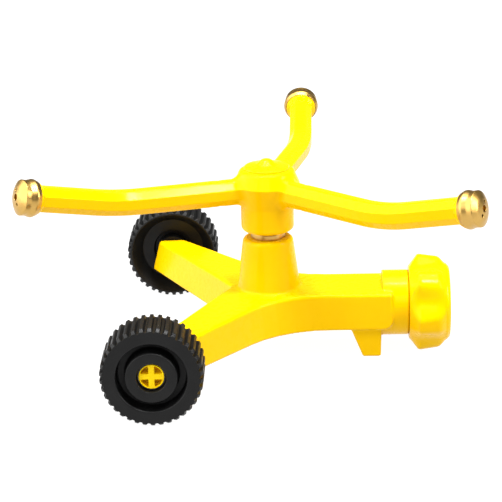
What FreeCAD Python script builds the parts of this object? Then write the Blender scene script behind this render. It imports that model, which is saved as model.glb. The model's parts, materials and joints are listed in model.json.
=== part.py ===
import FreeCAD, Part
import math
import os

from FreeCAD import Vector

# A three-arm rotary lawn sprinkler on a wheeled base, in millimetres.
# While it is modelled, the spindle stands on the Z axis, the ground is z = 0 and +X points to the hose inlet.
# The last step moves everything so that the origin is the middle of the bounding box on the ground.

# ---- base casting: a hose pipe along +X and two wheel legs, 120 degrees apart ----
LEG_HEADING = 120.0
PIPE_TOP = 27.5
BASE_BOTTOM = 12.0
PIPE_HALF_TOP = 14.0
PIPE_HALF_BOTTOM = 14.2
PIPE_END = 50.9
PIPE_END_ROUND = 4.0
LEG_END_Y = 68.6
LEG_OUTER_TOP = 9.2
LEG_OUTER_BOTTOM = 10.4
LEG_OUTER_AT = 20.0
LEG_OUTER_TAPER = 0.146
LEG_INNER_TOP = 12.3
LEG_INNER_BOTTOM = 13.6
LEG_INNER_AT = 28.0
LEG_INNER_TAPER_TOP = 0.055
LEG_INNER_TAPER_BOTTOM = 0.025
LEG_TOP_FALL_FROM = 15.0
LEG_TOP_FALL = 0.030
BLEND_RADIUS = 40.0
CROTCH_RADIUS = 3.0
EDGE_ROUND = 1.2
POCKET_ROOF = 22.5
POCKET_WALL = 3.0
POCKET_START = 24.0
POCKET_END = 62.0

# ---- riser on the base ----
RISER_FOOT_R = 12.9
RISER_TOP_R = 10.1
RISER_TOP = 48.9
RISER_SHOULDER = 1.8
RISER_FILLET = 1.0

# ---- water way ----
PIPE_AXIS_Z = 19.2
WATER_R = 5.5
ARM_BORE_R = 2.6

# ---- inlet collar, hose tail and swivel nut, all along X at PIPE_AXIS_Z ----
COLLAR_R = 13.5
COLLAR_START = 46.7
COLLAR_END = 57.6
TAIL_R = 9.5
TAIL_START = 48.4
TAIL_BORE_R = 6.6
TAIL_FLANGE_R = 11.8
TAIL_FLANGE_START = 60.4
TAIL_FLANGE_END = 62.4
TAIL_SEAL_X = 51.5
TAIL_SEAL_WIDTH = 2.0
TAIL_SEAL_INNER_R = 8.2
NUT_START = 57.8
NUT_END = 74.3
NUT_SHOULDER_END = 60.3
NUT_LOBE_R = 20.0
NUT_LOBES = 6
NUT_GROOVE_HEADING = 14.0
NUT_GROOVE_CUTTER_R = 7.5
NUT_GROOVE_DEPTH = 4.2
NUT_SEAT_R = 12.7
NUT_SEAT_END = 65.6
NUT_THREAD_R = 12.9
NUT_RUN_GAP = 0.08
HOSE_WASHER_R = 12.6
HOSE_WASHER_BORE = 8.0
HOSE_WASHER_START = 62.5
HOSE_WASHER_END = 65.5
SCREEN_START = 63.2
SCREEN_THICK = 0.5
SCREEN_HOLE_R = 0.7
SCREEN_PITCH = 2.2

# ---- foot under the pipe ----
FOOT_BOTTOM_X = (38.4, 45.8)
FOOT_TOP_X = (33.1, 46.2)
FOOT_HALF = 12.6

# ---- wheels, on one line across the legs ----
AXLE_X = -44.0
AXLE_Z = 20.0
WHEEL_R = 20.0
WHEEL_ROOT_R = 18.6
WHEEL_INNER_Y = 65.4
WHEEL_OUTER_Y = 83.35
WHEEL_RIBS = 38
RIB_ROOT_SHARE = 0.62
RIB_TOP_SHARE = 0.40
RIB_FLANK_R = 19.55
RIB_END_CHAMFER = 1.3
RIB_FACE_CHAMFER = 2.8
WHEEL_RIM_BORE = 13.7
WHEEL_HUB_R = 10.1
WHEEL_GROOVE_FLOOR = 76.5
WHEEL_HOLLOW_FLOOR = 72.7
WHEEL_HOLLOW_MOUTH_R = 17.9
WHEEL_HUB_POCKET_R = 8.4
WHEEL_HUB_POCKET_FLOOR = 76.0
WHEEL_MOUTH_R = 5.7
WHEEL_MOUTH_FLOOR = 80.6
WHEEL_RUN_GAP = 0.05

# ---- axle pins and what sits on them ----
PIN_R = 5.0
PIN_END_Y = 81.5
PIN_SHANK_R = 3.0
PIN_SHANK_START = 60.6
PIN_CROSS_DEPTH = 2.6
PIN_CROSS_HALF = 1.45
PIN_RIM = 0.8
CLIP_Y = (80.75, 81.25)
CLIP_INNER_R = 4.55
CLIP_OUTER_R = 5.35
CLIP_GAP_DEG = 50.0
SPACER_R = 6.8
SPACER_END_Y = 74.6
PIN_WASHER_Y = (74.7, 75.8)
PIN_WASHER_R = 8.0
PIN_SLIP = 0.1

# ---- spindle and its fittings ----
SPINDLE_THREAD_R = 5.0
SPINDLE_THREAD_START = 34.0
SPINDLE_R = 4.0
SPINDLE_TOP = 69.5
SPINDLE_BORE_R = 2.6
RISER_SEAL_Z = (45.6, 47.4)
RISER_SEAL_INNER_R = 4.1
RING_R = 7.1
RING_TOP = 51.4
LOWER_WASHER_R = 6.8
LOWER_WASHER_Z = (51.45, 52.4)
UPPER_WASHER_R = 6.0
UPPER_WASHER_Z = (62.4, 63.4)
NUT_ACROSS_FLATS = 10.0
SPINDLE_NUT_Z = (63.4, 67.0)
SPINDLE_RUN_GAP = 0.05

# ---- rotor hub ----
HUB_R = 10.83
HUB_NECK_Z = 62.6
HUB_SHOULDER_R = 13.5
HUB_SHOULDER_Z = 71.8
HUB_TOP_R = 11.0
HUB_BOTTOM = 52.0
HUB_TOP = 77.9
HUB_BOTTOM_ROUND = 2.0
HUB_TOP_ROUND = 2.6
HUB_RECESS_R = 7.4
HUB_BUSH_Z = (52.5, 60.5)
HUB_BUSH_R = 6.2
HUB_SEAL_TOP = 62.3
HUB_SEAL_INNER_R = 4.3
HUB_CHAMBER_R = 7.2
HUB_CHAMBER_TOP = 75.5
CAP_PLUG_R = 8.2
CAP_R = 9.3
CAP_TOP = 79.0
CAP_NUB_FOOT_R = 4.3
CAP_NUB_FOOT_Z = 79.7
CAP_NUB_R = 1.9
CAP_NUB_TOP = 82.1

# ---- arms ----
ARM_COUNT = 3
ARM_TIP_HEADING = 81.79
ARM_ROOT_TURN = -4.59
ARM_Z = 69.3
ARM_HALF_WIDTH = 4.8
ARM_HALF_HEIGHT = 5.15
ARM_FLAT_HALF = 2.1
ARM_SIDE_HALF = 2.0
ARM_FLAT_ROUND = 1.9
ARM_CREASE_ROUND = 0.55
ARM_BEND_AT = 63.0
ARM_BEND_Z = 69.7
ARM_BEND_CUT = 10.4
TIP_TURN = 7.66
TIP_SLOPE = 13.01
TIP_LENGTH = 38.8
SOCKET_END = 24.0
SPIGOT_R = 3.7
SPIGOT_LENGTH = 9.0

# ---- nozzles: measured along the arm's last run, from the nozzle's rear edge ----
NOZZLE_REAR = -3.2
NOZZLE_REAR_R = 7.7
NOZZLE_WAIST_R = 7.05
NOZZLE_RIM_R = 7.15
NOZZLE_RIM_S = 6.5
NOZZLE_LENGTH = 8.75
NOZZLE_TURNS = (0.0, -30.0, 39.0)
NOZZLE_SKIRT_BORE = 6.6
NOZZLE_SKIRT_DEPTH = 1.9
NOZZLE_BORE_R = 4.35
NOZZLE_BORE_FLOOR = 6.6
TIP_FLANGE_R = 6.5
TIP_FLANGE_BACK = -1.0
TIP_FLANGE_FRONT = 1.7
TIP_SPIGOT_R = 4.3
TIP_SPIGOT_END = 6.3
NOZZLE_SEAL_S = (3.4, 4.9)
NOZZLE_SEAL_INNER_R = 3.5
NOZZLE_SEAL_R = 4.05
JET_R = 1.35
SIDE_JET_R = 0.6
SIDE_JET_OFFSET = 3.0

Z_UP = Vector(0, 0, 1)
FULL_TURN = 360.0


# ---- helpers ----
def heading(degrees, length=1.0):
    """A level vector at a compass angle measured from +X towards +Y."""
    turn = math.radians(degrees)
    return Vector(length * math.cos(turn), length * math.sin(turn), 0)


def corner_arc(before, corner, after, radius):
    """The tangent arc that rounds one corner of an outline, as (start, arc edge, end)."""
    to_before = (before - corner).normalize()
    to_after = (after - corner).normalize()
    half = to_before.getAngle(to_after) / 2
    reach = radius / math.tan(half)
    start = corner + to_before * reach
    end = corner + to_after * reach
    inward = (to_before + to_after).normalize()
    middle = corner + inward * (radius / math.sin(half) - radius)
    return start, Part.Arc(start, middle, end).toShape(), end


def rounded_wire(corners):
    """A closed wire through (point, radius) corners; a radius of 0 keeps the corner sharp."""
    count = len(corners)
    spans = []
    for i, (point, radius) in enumerate(corners):
        before = corners[i - 1][0]
        after = corners[(i + 1) % count][0]
        if radius > 0:
            spans.append(corner_arc(before, point, after, radius))
        else:
            spans.append((point, None, point))
    edges = []
    for i, (start, arc, end) in enumerate(spans):
        if arc is not None:
            edges.append(arc)
        following = spans[(i + 1) % count][0]
        if end.distanceToPoint(following) > 1e-6:
            edges.append(Part.LineSegment(end, following).toShape())
    return Part.Wire(edges)


def turned(profile):
    """A solid turned about Z from (radius, height, corner rounding) points."""
    corners = [(Vector(r, 0, z), rounding) for r, z, rounding in profile]
    face = Part.Face(rounded_wire(corners))
    return face.revolve(Vector(0, 0, 0), Z_UP, FULL_TURN)


def sleeve(inner, outer, low, high):
    """A plain ring about Z."""
    ring = Part.makeCylinder(outer, high - low, Vector(0, 0, low))
    return ring.cut(Part.makeCylinder(inner, high - low, Vector(0, 0, low)))


def aim(shape, origin, direction):
    """Carries a shape made about Z to an axis through origin along direction, keeping its +X side up."""
    target = Vector(direction).normalize()
    side = Z_UP.cross(target).normalize()
    up = target.cross(side)
    matrix = FreeCAD.Matrix(
        up.x, side.x, target.x, origin.x,
        up.y, side.y, target.y, origin.y,
        up.z, side.z, target.z, origin.z,
        0, 0, 0, 1,
    )
    moved = shape.copy()
    moved.transformShape(matrix)
    return moved


def along_pipe(shape):
    """Carries a shape made about Z to the hose inlet's axis, heights becoming X."""
    return aim(shape, Vector(0, 0, PIPE_AXIS_Z), Vector(1, 0, 0))


def along_axle(shape, side):
    """Carries a shape made about Z to the wheels' axis, heights becoming distance from the middle."""
    return aim(shape, Vector(AXLE_X, 0, AXLE_Z), Vector(0, side, 0))


def fused(shapes):
    """One solid from overlapping shapes, with split faces merged."""
    whole = shapes[0].multiFuse(shapes[1:])
    return whole.removeSplitter()


# ---- base casting ----
def leg_point(run, offset, z):
    """A point on the +Y leg: run along it, and offset towards the hose pipe."""
    along = heading(LEG_HEADING, run)
    across = heading(LEG_HEADING - 90, offset)
    return along + across + Vector(0, 0, z)


def outer_edge(side_offset, z):
    """Two points on the leg edge that faces the pipe."""
    far = 80.0
    drop = LEG_OUTER_TAPER * (far - LEG_OUTER_AT)
    return leg_point(LEG_OUTER_AT, side_offset, z), leg_point(far, side_offset - drop, z)


def inner_edge(side_offset, taper, z):
    """Two points on the leg edge that faces the other leg."""
    far = 80.0
    drop = taper * (far - LEG_INNER_AT)
    return leg_point(LEG_INNER_AT, -side_offset, z), leg_point(far, drop - side_offset, z)


def at_y(line, y):
    """Where a line in plan crosses a given y."""
    start, end = line
    share = (y - start.y) / (end.y - start.y)
    return start + (end - start) * share


def plan_wire(pipe_half, outer, inner, taper, z):
    """The whole outline of the base at one height, from the pipe's end round both legs."""
    outer_line = outer_edge(outer, z)
    inner_line = inner_edge(inner, taper, z)
    half = [
        (Vector(PIPE_END, pipe_half, z), EDGE_ROUND),
        (at_y(outer_line, pipe_half), BLEND_RADIUS),
        (at_y(outer_line, LEG_END_Y), EDGE_ROUND),
        (at_y(inner_line, LEG_END_Y), EDGE_ROUND),
    ]
    mirrored = [(Vector(p.x, -p.y, p.z), r) for p, r in reversed(half)]
    crotch = (at_y(inner_line, 0), CROTCH_RADIUS)
    return rounded_wire(half + [crotch] + mirrored)


def star_body():
    """The drafted three-way body, with the pipe's end rounded underneath."""
    top_sizes = (PIPE_HALF_TOP, LEG_OUTER_TOP, LEG_INNER_TOP, LEG_INNER_TAPER_TOP)
    bottom_sizes = (PIPE_HALF_BOTTOM, LEG_OUTER_BOTTOM, LEG_INNER_BOTTOM, LEG_INNER_TAPER_BOTTOM)
    top = plan_wire(*top_sizes, PIPE_TOP)
    bottom = plan_wire(*bottom_sizes, BASE_BOTTOM)
    body = Part.makeLoft([bottom, top], True, True)
    reach = 2 * LEG_END_Y
    side_view = rounded_wire([
        (Vector(-reach, -reach, BASE_BOTTOM), 0),
        (Vector(PIPE_END, -reach, BASE_BOTTOM), PIPE_END_ROUND),
        (Vector(PIPE_END, -reach, PIPE_TOP), 0),
        (Vector(-reach, -reach, PIPE_TOP), 0),
    ])
    return body.common(Part.Face(side_view).extrude(Vector(0, 2 * reach, 0)))


def leg_top_cut(side):
    """The wedge that lets a leg's top fall gently towards its wheel."""
    length = 90.0
    width = 60.0
    height = 10.0
    slab = Part.makeBox(length, width, height, Vector(0, -width / 2, 0))
    slab.rotate(Vector(0, 0, 0), Vector(0, 1, 0), math.degrees(math.atan(LEG_TOP_FALL)))
    slab.translate(Vector(LEG_TOP_FALL_FROM, 0, PIPE_TOP))
    slab.rotate(Vector(0, 0, 0), Z_UP, side * LEG_HEADING)
    return slab


def leg_pocket(side):
    """The cored-out space under a leg."""
    def corners(z):
        outer = LEG_OUTER_TOP - POCKET_WALL
        inner = LEG_INNER_TOP - POCKET_WALL
        narrow_outer = outer - LEG_OUTER_TAPER * (POCKET_END - LEG_OUTER_AT)
        narrow_inner = inner - LEG_INNER_TAPER_TOP * (POCKET_END - LEG_INNER_AT)
        return [
            (leg_point(POCKET_START, outer, z), 2.0),
            (leg_point(POCKET_END, narrow_outer, z), 2.0),
            (leg_point(POCKET_END, -narrow_inner, z), 2.0),
            (leg_point(POCKET_START, -inner, z), 2.0),
        ]

    floor = Part.Face(rounded_wire(corners(BASE_BOTTOM - 1)))
    pocket = floor.extrude(Vector(0, 0, POCKET_ROOF - BASE_BOTTOM + 1))
    if side < 0:
        pocket = pocket.mirror(Vector(0, 0, 0), Vector(0, 1, 0))
    return pocket


def riser():
    """The cone that carries the spindle, with a small fillet where it meets the base."""
    slope = (RISER_FOOT_R - RISER_TOP_R) / (RISER_TOP - PIPE_TOP)
    flare = RISER_FOOT_R + RISER_FILLET
    sunk = 2.0
    return turned([
        (0, PIPE_TOP - sunk, 0),
        (flare, PIPE_TOP - sunk, 0),
        (flare, PIPE_TOP, 0),
        (RISER_FOOT_R, PIPE_TOP, RISER_FILLET),
        (RISER_TOP_R + slope, RISER_TOP, RISER_SHOULDER),
        (0, RISER_TOP, 0),
    ])


def foot():
    """The skid under the pipe, slanted on its spindle side."""
    low_start, low_end = FOOT_BOTTOM_X
    top_start, top_end = FOOT_TOP_X
    outline = rounded_wire([
        (Vector(low_start, -FOOT_HALF, 0), EDGE_ROUND / 2),
        (Vector(low_end, -FOOT_HALF, 0), EDGE_ROUND / 2),
        (Vector(top_end, -FOOT_HALF, BASE_BOTTOM + 1), 0),
        (Vector(top_start, -FOOT_HALF, BASE_BOTTOM + 1), 0),
    ])
    return Part.Face(outline).extrude(Vector(0, 2 * FOOT_HALF, 0))


def base_casting():
    collar = along_pipe(turned([
        (0, COLLAR_START, 0),
        (COLLAR_R, COLLAR_START, 0.5),
        (COLLAR_R, COLLAR_END, 0.6),
        (0, COLLAR_END, 0),
    ]))
    body = fused([star_body(), riser(), foot(), collar])
    cuts = [
        Part.makeCylinder(WATER_R, TAIL_START, Vector(0, 0, PIPE_AXIS_Z), Vector(1, 0, 0)),
        Part.makeSphere(WATER_R, Vector(0, 0, PIPE_AXIS_Z)),
        Part.makeCylinder(WATER_R, SPINDLE_THREAD_START - PIPE_AXIS_Z, Vector(0, 0, PIPE_AXIS_Z)),
        Part.makeCylinder(SPINDLE_THREAD_R, RISER_TOP, Vector(0, 0, SPINDLE_THREAD_START)),
        along_pipe(Part.makeCylinder(TAIL_R, PIPE_END, Vector(0, 0, TAIL_START))),
    ]
    for side in (1, -1):
        cuts.append(leg_top_cut(side))
        cuts.append(leg_pocket(side))
        depth = LEG_END_Y - PIN_SHANK_START
        cuts.append(along_axle(Part.makeCylinder(PIN_SHANK_R, 2 * depth, Vector(0, 0, PIN_SHANK_START)), side))
    for cut in cuts:
        body = body.cut(cut)
    return body


# ---- wheels and axles, made about Z with heights measured from the middle of the sprinkler ----
def tread_outline():
    """The ribbed edge of a wheel, one rounded rib after another."""
    pitch = FULL_TURN / WHEEL_RIBS
    root_half = pitch * RIB_ROOT_SHARE / 2
    top_half = pitch * RIB_TOP_SHARE / 2
    edges = []
    for i in range(WHEEL_RIBS):
        middle = i * pitch
        foot_in = heading(middle - root_half, WHEEL_ROOT_R)
        flank_in = heading(middle - top_half, RIB_FLANK_R)
        flank_out = heading(middle + top_half, RIB_FLANK_R)
        foot_out = heading(middle + root_half, WHEEL_ROOT_R)
        next_foot = heading(middle + pitch - root_half, WHEEL_ROOT_R)
        valley = heading(middle + pitch / 2, WHEEL_ROOT_R)
        edges.append(Part.LineSegment(foot_in, flank_in).toShape())
        edges.append(Part.Arc(flank_in, heading(middle, WHEEL_R), flank_out).toShape())
        edges.append(Part.LineSegment(flank_out, foot_out).toShape())
        edges.append(Part.Arc(foot_out, valley, next_foot).toShape())
    return Part.Wire(edges)


def wheel_section():
    """The wheel's turned shape: rim, web and hub, with a groove outside and a cone-shaped hollow inside."""
    bore = PIN_R + WHEEL_RUN_GAP
    face_r = WHEEL_ROOT_R - 0.1
    crest = WHEEL_R + 0.5
    return turned([
        (bore, WHEEL_HUB_POCKET_FLOOR, 0),
        (WHEEL_HUB_POCKET_R, WHEEL_HUB_POCKET_FLOOR, 0),
        (WHEEL_HUB_POCKET_R, WHEEL_HOLLOW_FLOOR, 0.4),
        (WHEEL_RIM_BORE, WHEEL_HOLLOW_FLOOR, 0.4),
        (WHEEL_HOLLOW_MOUTH_R, WHEEL_INNER_Y, 0.3),
        (face_r, WHEEL_INNER_Y, 0),
        (crest, WHEEL_INNER_Y + RIB_END_CHAMFER, 0),
        (crest, WHEEL_OUTER_Y - RIB_FACE_CHAMFER, 0),
        (face_r, WHEEL_OUTER_Y, 0),
        (WHEEL_RIM_BORE, WHEEL_OUTER_Y, 0.6),
        (WHEEL_RIM_BORE, WHEEL_GROOVE_FLOOR, 0.8),
        (WHEEL_HUB_R, WHEEL_GROOVE_FLOOR, 0.8),
        (WHEEL_HUB_R, WHEEL_OUTER_Y, 0.6),
        (WHEEL_MOUTH_R, WHEEL_OUTER_Y, 0.3),
        (WHEEL_MOUTH_R, WHEEL_MOUTH_FLOOR, 0),
        (bore, WHEEL_MOUTH_FLOOR, 0),
    ])


def wheel(side):
    tread = Part.Face(tread_outline())
    tread.translate(Vector(0, 0, WHEEL_INNER_Y))
    blank = tread.extrude(Vector(0, 0, WHEEL_OUTER_Y - WHEEL_INNER_Y))
    return along_axle(blank.common(wheel_section()), side)


def cross_pockets():
    """Four pockets that leave a standing cross inside a round rim."""
    reach = PIN_R - PIN_RIM
    well = Part.makeCylinder(reach, PIN_CROSS_DEPTH, Vector(0, 0, PIN_END_Y - PIN_CROSS_DEPTH))
    width = 2 * PIN_CROSS_HALF
    length = 2 * PIN_R
    for size in ((length, width), (width, length)):
        bar = Part.makeBox(size[0], size[1], PIN_CROSS_DEPTH)
        bar.translate(Vector(-size[0] / 2, -size[1] / 2, PIN_END_Y - PIN_CROSS_DEPTH))
        well = well.cut(bar)
    return well


def axle_pin(side):
    clip_low, clip_high = CLIP_Y
    pin = turned([
        (0, PIN_SHANK_START, 0),
        (PIN_SHANK_R, PIN_SHANK_START, 0.5),
        (PIN_SHANK_R, LEG_END_Y, 0),
        (PIN_R, LEG_END_Y, 0),
        (PIN_R, clip_low, 0),
        (CLIP_INNER_R, clip_low, 0),
        (CLIP_INNER_R, clip_high, 0),
        (PIN_R, clip_high, 0),
        (PIN_R, PIN_END_Y, 0),
        (0, PIN_END_Y, 0),
    ])
    return along_axle(pin.cut(cross_pockets()), side)


def axle_clip(side):
    """A spring ring with an open gap, in the groove near the pin's end."""
    low, high = CLIP_Y
    ring = sleeve(CLIP_INNER_R, CLIP_OUTER_R, low, high)
    wedge = Part.makeCylinder(PIN_WASHER_R, high - low, Vector(0, 0, low), Z_UP, CLIP_GAP_DEG)
    return along_axle(ring.cut(wedge), side)


def wheel_spacer(side):
    return along_axle(sleeve(PIN_R + PIN_SLIP, SPACER_R, LEG_END_Y, SPACER_END_Y), side)


def wheel_washer(side):
    low, high = PIN_WASHER_Y
    return along_axle(sleeve(PIN_R + PIN_SLIP, PIN_WASHER_R, low, high), side)


# ---- hose inlet ----
def inlet_tail():
    """A flanged tail that is fixed in the collar and holds the swivel nut."""
    seal_end = TAIL_SEAL_X + TAIL_SEAL_WIDTH
    return along_pipe(turned([
        (TAIL_BORE_R, TAIL_START, 0),
        (TAIL_R, TAIL_START, 0.5),
        (TAIL_R, TAIL_SEAL_X, 0),
        (TAIL_SEAL_INNER_R, TAIL_SEAL_X, 0),
        (TAIL_SEAL_INNER_R, seal_end, 0),
        (TAIL_R, seal_end, 0),
        (TAIL_R, TAIL_FLANGE_START, 0),
        (TAIL_FLANGE_R, TAIL_FLANGE_START, 0.3),
        (TAIL_FLANGE_R, TAIL_FLANGE_END, 0.3),
        (TAIL_BORE_R, TAIL_FLANGE_END, 0.3),
    ]))


def tail_seal():
    return along_pipe(sleeve(TAIL_SEAL_INNER_R, TAIL_R, TAIL_SEAL_X, TAIL_SEAL_X + TAIL_SEAL_WIDTH))


def swivel_nut():
    """The hand nut: six broad lobes with scallops between, widest near the collar, tapered to its mouth."""
    knob = turned([
        (TAIL_R + NUT_RUN_GAP, NUT_START, 0),
        (15.0, NUT_START, 0.8),
        (NUT_LOBE_R, 61.6, 1.5),
        (18.8, 70.2, 3.0),
        (15.2, 73.5, 0),
        (14.6, NUT_END, 0.4),
        (NUT_THREAD_R, NUT_END, 0),
        (NUT_THREAD_R, NUT_SEAT_END, 0),
        (NUT_SEAT_R, NUT_SEAT_END, 0),
        (NUT_SEAT_R, NUT_SHOULDER_END, 0),
        (TAIL_R + NUT_RUN_GAP, NUT_SHOULDER_END, 0),
    ])
    knob = along_pipe(knob)
    reach = NUT_LOBE_R - NUT_GROOVE_DEPTH + NUT_GROOVE_CUTTER_R
    for i in range(NUT_LOBES):
        angle = math.radians(NUT_GROOVE_HEADING + i * FULL_TURN / NUT_LOBES)
        centre = Vector(NUT_START - 5, -reach * math.cos(angle), PIPE_AXIS_Z + reach * math.sin(angle))
        groove = Part.makeCylinder(NUT_GROOVE_CUTTER_R, NUT_END - NUT_START + 10, centre, Vector(1, 0, 0))
        knob = knob.cut(groove)
    return knob


def hose_washer():
    return along_pipe(sleeve(HOSE_WASHER_BORE, HOSE_WASHER_R, HOSE_WASHER_START, HOSE_WASHER_END))


def filter_screen():
    """A flat strainer with a grid of round holes, held in the hose washer."""
    disc = Part.makeCylinder(HOSE_WASHER_BORE, SCREEN_THICK, Vector(0, 0, SCREEN_START))
    steps = int(HOSE_WASHER_BORE / SCREEN_PITCH)
    holes = []
    for i in range(-steps, steps + 1):
        for j in range(-steps, steps + 1):
            spot = Vector(i * SCREEN_PITCH, j * SCREEN_PITCH, SCREEN_START)
            if math.hypot(spot.x, spot.y) < HOSE_WASHER_BORE - SCREEN_PITCH / 2:
                holes.append(Part.makeCylinder(SCREEN_HOLE_R, SCREEN_THICK, spot))
    return along_pipe(disc.cut(Part.makeCompound(holes)))


# ---- spindle ----
def spindle():
    """The hollow spindle, fixed in the riser and carrying the rotor."""
    seal_low, seal_high = RISER_SEAL_Z
    return turned([
        (SPINDLE_BORE_R, SPINDLE_THREAD_START, 0),
        (SPINDLE_THREAD_R, SPINDLE_THREAD_START, 0.5),
        (SPINDLE_THREAD_R, seal_low, 0),
        (RISER_SEAL_INNER_R, seal_low, 0),
        (RISER_SEAL_INNER_R, seal_high, 0),
        (SPINDLE_THREAD_R, seal_high, 0),
        (SPINDLE_THREAD_R, RISER_TOP, 0),
        (SPINDLE_R, RISER_TOP, 0),
        (SPINDLE_R, SPINDLE_TOP, 0.5),
        (SPINDLE_BORE_R, SPINDLE_TOP, 0),
    ])


def bearing_ring():
    """The brass collar between the riser and the hub."""
    return turned([
        (SPINDLE_R, RISER_TOP, 0),
        (RING_R, RISER_TOP, 0.3),
        (RING_R, RING_TOP, 0.5),
        (SPINDLE_R, RING_TOP, 0),
    ])


def spindle_nut():
    low, high = SPINDLE_NUT_Z
    corner_r = NUT_ACROSS_FLATS / 2 / math.cos(math.radians(30))
    corners = [(heading(60 * i, corner_r) + Vector(0, 0, low), 0) for i in range(6)]
    blank = Part.Face(rounded_wire(corners)).extrude(Vector(0, 0, high - low))
    return blank.cut(Part.makeCylinder(SPINDLE_R, high - low, Vector(0, 0, low)))


# ---- rotor ----
def arm_section():
    """The arm's eight-sided section in the local XY plane: X up, Y sideways, round above and below."""
    left_side = [
        (Vector(ARM_HALF_HEIGHT, ARM_FLAT_HALF, 0), ARM_FLAT_ROUND),
        (Vector(ARM_SIDE_HALF, ARM_HALF_WIDTH, 0), ARM_CREASE_ROUND),
        (Vector(-ARM_SIDE_HALF, ARM_HALF_WIDTH, 0), ARM_CREASE_ROUND),
        (Vector(-ARM_HALF_HEIGHT, ARM_FLAT_HALF, 0), ARM_FLAT_ROUND),
    ]
    right_side = [(Vector(p.x, -p.y, 0), r) for p, r in reversed(left_side)]
    return rounded_wire(left_side + right_side)


def arm_headings():
    return [ARM_TIP_HEADING + i * FULL_TURN / ARM_COUNT for i in range(ARM_COUNT)]


def arm_path(tip_heading):
    """The arm's centreline as (axis point, first direction, bend point, last direction)."""
    level = heading(tip_heading + ARM_ROOT_TURN)
    axis_point = Vector(0, 0, ARM_Z)
    bend = level * ARM_BEND_AT + Vector(0, 0, ARM_BEND_Z)
    first = (bend - axis_point).normalize()
    slope = math.radians(TIP_SLOPE)
    last = heading(tip_heading + TIP_TURN) * math.cos(slope) + Z_UP * math.sin(slope)
    return axis_point, first, bend, last


def nozzle_start(tip_heading):
    """The middle of a nozzle's rear edge."""
    _, _, bend, last = arm_path(tip_heading)
    return bend + last * (TIP_LENGTH + NOZZLE_REAR)


def sweep_arm(wire, tip_heading, start_at, end_s):
    """Carries an outline along the arm: a straight run, a tangent bend and a straight run."""
    axis_point, first, bend, last = arm_path(tip_heading)
    start = axis_point + first * start_at
    face = Part.Face(aim(wire, start, first))
    bend_start = bend - first * ARM_BEND_CUT
    run = face.extrude(bend_start - start)
    turn = first.getAngle(last)
    normal = first.cross(last).normalize()
    radius = ARM_BEND_CUT / math.tan(turn / 2)
    centre = bend_start + normal.cross(first) * radius
    face.translate(bend_start - start)
    elbow = face.revolve(centre, normal, math.degrees(turn))
    face.rotate(centre, normal, math.degrees(turn))
    bend_end = bend + last * ARM_BEND_CUT
    tip = nozzle_start(tip_heading) + last * end_s
    last_run = face.extrude(tip - bend_end)
    return fused([run, elbow, last_run])


def arm(tip_heading):
    """One arm: a bent tube with a spigot for the hub, and a flange and spigot for the nozzle."""
    axis_point, first, _, last = arm_path(tip_heading)
    rear = nozzle_start(tip_heading)
    low, high = NOZZLE_SEAL_S
    tip = turned([
        (0, TIP_FLANGE_BACK - 1, 0),
        (ARM_HALF_WIDTH - 0.5, TIP_FLANGE_BACK - 1, 0),
        (TIP_FLANGE_R, TIP_FLANGE_BACK + 0.5, 1.0),
        (TIP_FLANGE_R, TIP_FLANGE_FRONT, 0.3),
        (TIP_SPIGOT_R, TIP_FLANGE_FRONT, 0),
        (TIP_SPIGOT_R, low, 0),
        (NOZZLE_SEAL_INNER_R, low, 0),
        (NOZZLE_SEAL_INNER_R, high, 0),
        (TIP_SPIGOT_R, high, 0),
        (TIP_SPIGOT_R, TIP_SPIGOT_END, 0.3),
        (0, TIP_SPIGOT_END, 0),
    ])
    spigot_start = axis_point + first * (SOCKET_END - SPIGOT_LENGTH)
    root = Part.makeCylinder(SPIGOT_R, SPIGOT_LENGTH + 3, spigot_start, first)
    body = sweep_arm(arm_section(), tip_heading, SOCKET_END, TIP_FLANGE_BACK)
    body = fused([body, root, aim(tip, rear, last)])
    bore = Part.Wire(Part.makeCircle(ARM_BORE_R))
    return body.cut(sweep_arm(bore, tip_heading, SOCKET_END - SPIGOT_LENGTH - 1, TIP_SPIGOT_END + 1))


def arm_socket(tip_heading):
    """The stub of the hub that takes an arm."""
    axis_point, first, _, _ = arm_path(tip_heading)
    stub = Part.Face(aim(arm_section(), axis_point + first * HUB_CHAMBER_R, first))
    return stub.extrude(first * (SOCKET_END - HUB_CHAMBER_R))


def rotor_hub():
    """The hub: straight below, then flaring to a shoulder at the arms' upper crease and closing to the cap."""
    blank = turned([
        (0, HUB_BOTTOM, 0),
        (HUB_R, HUB_BOTTOM, HUB_BOTTOM_ROUND),
        (HUB_R, HUB_NECK_Z, 3.0),
        (HUB_SHOULDER_R, HUB_SHOULDER_Z, 0.6),
        (HUB_TOP_R, HUB_TOP, HUB_TOP_ROUND),
        (0, HUB_TOP, 0),
    ])
    hub = fused([blank] + [arm_socket(tip_heading) for tip_heading in arm_headings()])
    bush_low, bush_high = HUB_BUSH_Z
    hub = hub.cut(turned([
        (0, HUB_BOTTOM - 1, 0),
        (HUB_RECESS_R, HUB_BOTTOM - 1, 0),
        (HUB_RECESS_R, bush_low, 0),
        (HUB_BUSH_R, bush_low, 0),
        (HUB_BUSH_R, HUB_SEAL_TOP, 0),
        (HUB_CHAMBER_R, HUB_SEAL_TOP, 0),
        (HUB_CHAMBER_R, HUB_CHAMBER_TOP, 0),
        (CAP_PLUG_R, HUB_CHAMBER_TOP, 0),
        (CAP_PLUG_R, HUB_TOP + 1, 0),
        (0, HUB_TOP + 1, 0),
    ]))
    for tip_heading in arm_headings():
        axis_point, first, _, _ = arm_path(tip_heading)
        socket = axis_point + first * (SOCKET_END - SPIGOT_LENGTH)
        hub = hub.cut(Part.makeCylinder(SPIGOT_R, SPIGOT_LENGTH + 1, socket, first))
        hub = hub.cut(Part.makeCylinder(ARM_BORE_R, SOCKET_END - SPIGOT_LENGTH, axis_point, first))
    return hub


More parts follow.
